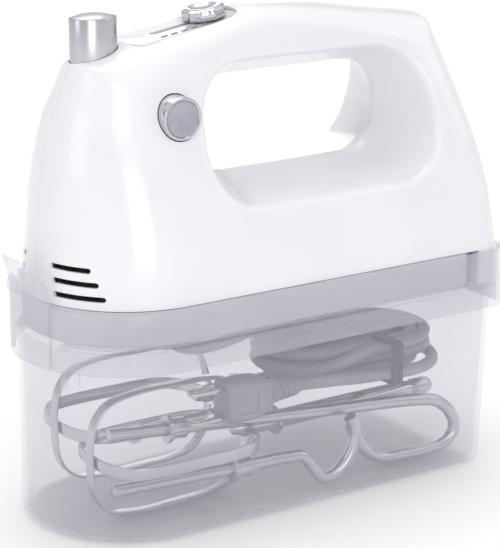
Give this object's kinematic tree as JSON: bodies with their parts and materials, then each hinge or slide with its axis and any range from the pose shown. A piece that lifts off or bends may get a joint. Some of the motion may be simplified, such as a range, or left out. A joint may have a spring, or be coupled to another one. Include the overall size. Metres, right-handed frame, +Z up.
{
  "type": "hand mixer",
  "caption": "White closed-handle hand mixer with slide speed knob, eject and turbo buttons, on a clear storage case holding wire beaters, dough hooks and folded cord.",
  "frame": {"origin": "middle of the face that the storage case stands on", "axes": "+X from the nose to the handle's heel, +Y to the mixer's right side seen by its user, +Z up"},
  "size_m": [0.2272, 0.096, 0.211],
  "materials": {
    "clear_plastic": "clear moulded, polished",
    "white_abs": "gloss moulded",
    "grey_abs": "fine matt moulded",
    "chromed": "chrome plated, brushed sides",
    "steel": "polished",
    "dark_pvc": "satin PVC",
    "black_plastic": "matt moulded",
    "copper": "enamelled copper",
    "brass": "turned",
    "nylon": "natural nylon",
    "carbon": "pressed carbon",
    "zinc": "zinc plated steel and laminations"
  },
  "bodies": {
    "case": {"storage_tub": "clear_plastic", "beater_1_shaft": "steel", "beater_1_upright_loop": "steel", "beater_1_flat_loop": "steel", "beater_2_shaft": "steel", "beater_2_upright_loop": "steel", "beater_2_flat_loop": "steel", "dough_hook_1_rod": "steel", "dough_hook_1_collar": "steel", "dough_hook_2_rod": "steel", "dough_hook_2_collar": "steel"},
    "mixer": {"storage_tray": "clear_plastic", "left_housing": "white_abs", "right_housing": "white_abs", "bottom_cover": "grey_abs", "top_plate": "white_abs", "housing_screw_1": "zinc", "housing_screw_2": "zinc", "housing_screw_3": "zinc", "housing_screw_4": "zinc", "speed_switch": "black_plastic", "turbo_switch": "black_plastic", "chassis": "zinc", "rear_bracket": "zinc", "bearing_front": "brass", "bearing_rear": "brass", "stator_core": "zinc", "field_coil_left": "copper", "field_coil_right": "copper", "brush_left": "carbon", "brush_right": "carbon", "brush_holder_left": "brass", "brush_holder_right": "brass", "strain_relief": "dark_pvc", "cord_lead": "dark_pvc", "cord_tail": "dark_pvc", "cord_hank": "dark_pvc", "cord_tie": "black_plastic", "power_plug": "dark_pvc", "plug_blade_1": "brass", "plug_blade_2": "brass"},
    "latch": {"front_latch": "clear_plastic"},
    "eject": {"eject_button": "chromed", "ejector_fork": "nylon", "eject_spring": "steel"},
    "speed": {"speed_knob": "chromed", "speed_carriage": "black_plastic"},
    "turbo": {"turbo_button": "chromed", "turbo_spring": "steel"},
    "armature": {"armature_shaft": "steel", "armature_core": "zinc", "armature_winding_front": "copper", "armature_winding_rear": "copper", "commutator": "copper", "cooling_fan": "black_plastic"},
    "spindle_left": {"worm_wheel_left": "nylon"},
    "spindle_right": {"worm_wheel_right": "nylon"}
  },
  "joints": [
    {"name": "lift_off", "type": "slide", "parent": "case", "child": "mixer", "axis": [0, 0, 1], "range_m": [0, 0.12]},
    {"name": "latch_flex", "type": "hinge", "parent": "mixer", "child": "latch", "pos_m": [-0.1085, 0, 0.0735], "axis": [0, -1, 0], "range_deg": [0, 7], "stiffness_Nm_per_rad": 1.2},
    {"name": "eject_press", "type": "slide", "parent": "mixer", "child": "eject", "axis": [0, 0, -1], "range_m": [0, 0.007], "stiffness_N_per_m": 700, "springref_m": -0.004, "deforming": ["eject_spring"]},
    {"name": "speed_slide", "type": "slide", "parent": "mixer", "child": "speed", "axis": [-0.9885, 0, -0.1514], "range_m": [0, 0.024]},
    {"name": "turbo_press", "type": "slide", "parent": "mixer", "child": "turbo", "axis": [0, 1, 0], "range_m": [0, 0.003], "stiffness_N_per_m": 600, "springref_m": -0.002, "deforming": ["turbo_spring"]},
    {"name": "armature_spin", "type": "hinge", "parent": "mixer", "child": "armature", "pos_m": [0, 0, 0.112], "axis": [1, 0, 0], "continuous": true},
    {"name": "left_spindle_spin", "type": "hinge", "parent": "mixer", "child": "spindle_left", "pos_m": [-0.052, -0.02, 0.112], "axis": [0, 0, 1], "continuous": true},
    {"name": "right_spindle_spin", "type": "hinge", "parent": "mixer", "child": "spindle_right", "pos_m": [-0.052, 0.02, 0.112], "axis": [0, 0, 1], "continuous": true}
  ],
  "couplings": [
    {"joint": "left_spindle_spin", "follows": "armature_spin", "ratio": 0.041667},
    {"joint": "right_spindle_spin", "follows": "armature_spin", "ratio": -0.041667}
  ]
}
